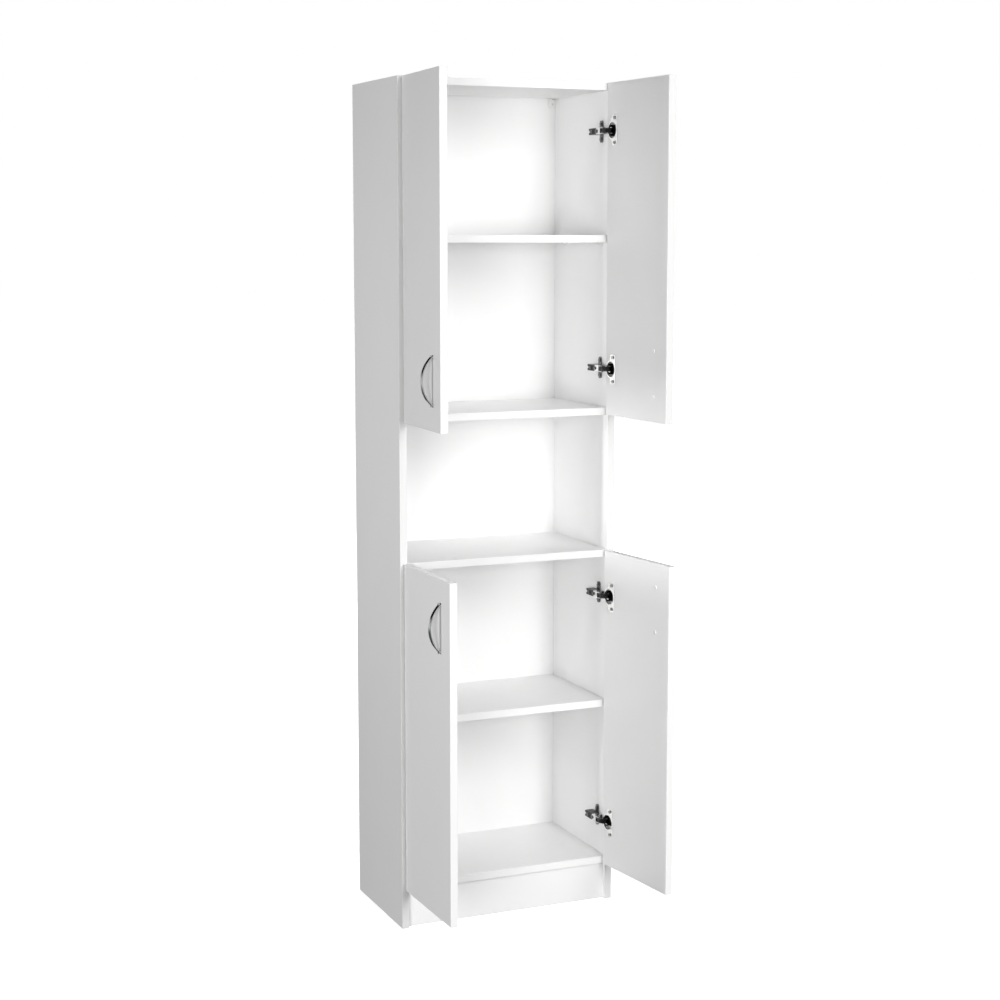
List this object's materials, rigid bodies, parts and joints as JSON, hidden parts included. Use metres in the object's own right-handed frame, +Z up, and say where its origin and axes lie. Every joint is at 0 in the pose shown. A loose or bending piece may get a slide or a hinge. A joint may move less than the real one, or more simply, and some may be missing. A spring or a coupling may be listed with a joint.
{
  "type": "tall bathroom cabinet",
  "caption": "Tall white board cabinet with an upper and a lower pair of hinged doors, an open niche between them, shelves on pins and bow handles.",
  "frame": {"origin": "middle of the kickboard's underside, on the floor", "axes": "+Z up, +Y to the back and the wall, +X to the right as seen from the front"},
  "size_m": [0.5677, 0.5328, 1.8],
  "materials": {
    "white_board": "white satin melamine on particle board, edges banded to match",
    "door_board": "white satin melamine on particle board, edges banded to match",
    "back_board": "white faced hardboard",
    "white_plastic": "moulded white plastic",
    "beech": "raw fluted beech",
    "screw_zinc": "bright zinc plate",
    "white_screw": "white lacquered screw",
    "hinge_nickel": "nickel plated pressed steel",
    "link_steel": "nickel plated pressed steel, darker",
    "pin_steel": "bright drawn steel",
    "handle_chrome": "polished chrome plate"
  },
  "bodies": {
    "carcass": {"left_side_panel": "white_board", "right_side_panel": "white_board", "top_panel": "white_board", "upper_floor_panel": "white_board", "niche_floor_panel": "white_board", "bottom_panel": "white_board", "upper_shelf": "white_board", "lower_shelf": "white_board", "kickboard": "white_board", "back_panel": "back_board", "back_nails": "screw_zinc", "shelf_pins": "white_plastic", "wall_brackets": "white_plastic", "bracket_screws": "screw_zinc", "dowels": "beech", "cam_bolts": "screw_zinc", "cam_locks": "screw_zinc", "hinge_plates": "hinge_nickel", "hinge_arms": "hinge_nickel", "plate_screws": "screw_zinc", "arm_screws": "screw_zinc", "arm_pins": "pin_steel"},
    "upper_left_links": {"upper_left_hinge_links": "link_steel"},
    "upper_left_door": {"upper_left_door": "door_board", "upper_left_handle": "handle_chrome", "upper_left_handle_screws": "white_screw", "upper_left_hinge_cups": "hinge_nickel", "upper_left_cup_screws": "screw_zinc", "upper_left_cup_pins": "pin_steel"},
    "upper_right_links": {"upper_right_hinge_links": "link_steel"},
    "upper_right_door": {"upper_right_door": "door_board", "upper_right_handle": "handle_chrome", "upper_right_handle_screws": "white_screw", "upper_right_hinge_cups": "hinge_nickel", "upper_right_cup_screws": "screw_zinc", "upper_right_cup_pins": "pin_steel"},
    "lower_left_links": {"lower_left_hinge_links": "link_steel"},
    "lower_left_door": {"lower_left_door": "door_board", "lower_left_handle": "handle_chrome", "lower_left_handle_screws": "white_screw", "lower_left_hinge_cups": "hinge_nickel", "lower_left_cup_screws": "screw_zinc", "lower_left_cup_pins": "pin_steel"},
    "lower_right_links": {"lower_right_hinge_links": "link_steel"},
    "lower_right_door": {"lower_right_door": "door_board", "lower_right_handle": "handle_chrome", "lower_right_handle_screws": "white_screw", "lower_right_hinge_cups": "hinge_nickel", "lower_right_cup_screws": "screw_zinc", "lower_right_cup_pins": "pin_steel"}
  },
  "joints": [
    {"name": "upper_left_link_swing", "type": "hinge", "parent": "carcass", "child": "upper_left_links", "pos_m": [-0.2168, -0.0209, 1.445], "axis": [0, 0, 1], "range_deg": [-45.02, 5.37]},
    {"name": "upper_left_door_swing", "type": "hinge", "parent": "upper_left_links", "child": "upper_left_door", "pos_m": [-0.22899, -0.03628, 1.445], "axis": [0, 0, -1], "range_deg": [-138.82, 16.57]},
    {"name": "upper_right_link_swing", "type": "hinge", "parent": "carcass", "child": "upper_right_links", "pos_m": [0.2168, -0.0209, 1.445], "axis": [0, 0, -1], "range_deg": [-44.83, 5.57]},
    {"name": "upper_right_door_swing", "type": "hinge", "parent": "upper_right_links", "child": "upper_right_door", "pos_m": [0.22904, -0.03624, 1.445], "axis": [0, 0, 1], "range_deg": [-138.23, 17.16]},
    {"name": "lower_left_link_swing", "type": "hinge", "parent": "carcass", "child": "lower_left_links", "pos_m": [-0.2168, -0.0209, 0.439], "axis": [0, 0, 1], "range_deg": [-42.86, 7.53]},
    {"name": "lower_left_door_swing", "type": "hinge", "parent": "lower_left_links", "child": "lower_left_door", "pos_m": [-0.22956, -0.03581, 0.439], "axis": [0, 0, -1], "range_deg": [-132.16, 23.23]},
    {"name": "lower_right_link_swing", "type": "hinge", "parent": "carcass", "child": "lower_right_links", "pos_m": [0.2168, -0.0209, 0.439], "axis": [0, 0, -1], "range_deg": [-46.32, 4.08]},
    {"name": "lower_right_door_swing", "type": "hinge", "parent": "lower_right_links", "child": "lower_right_door", "pos_m": [0.22864, -0.03656, 0.439], "axis": [0, 0, 1], "range_deg": [-142.82, 12.58]}
  ],
  "couplings": [
    {"joint": "upper_left_link_swing", "follows": "upper_left_door_swing", "ratio": 0.32432},
    {"joint": "upper_right_link_swing", "follows": "upper_right_door_swing", "ratio": 0.32432},
    {"joint": "lower_left_link_swing", "follows": "lower_left_door_swing", "ratio": 0.32432},
    {"joint": "lower_right_link_swing", "follows": "lower_right_door_swing", "ratio": 0.32432}
  ]
}
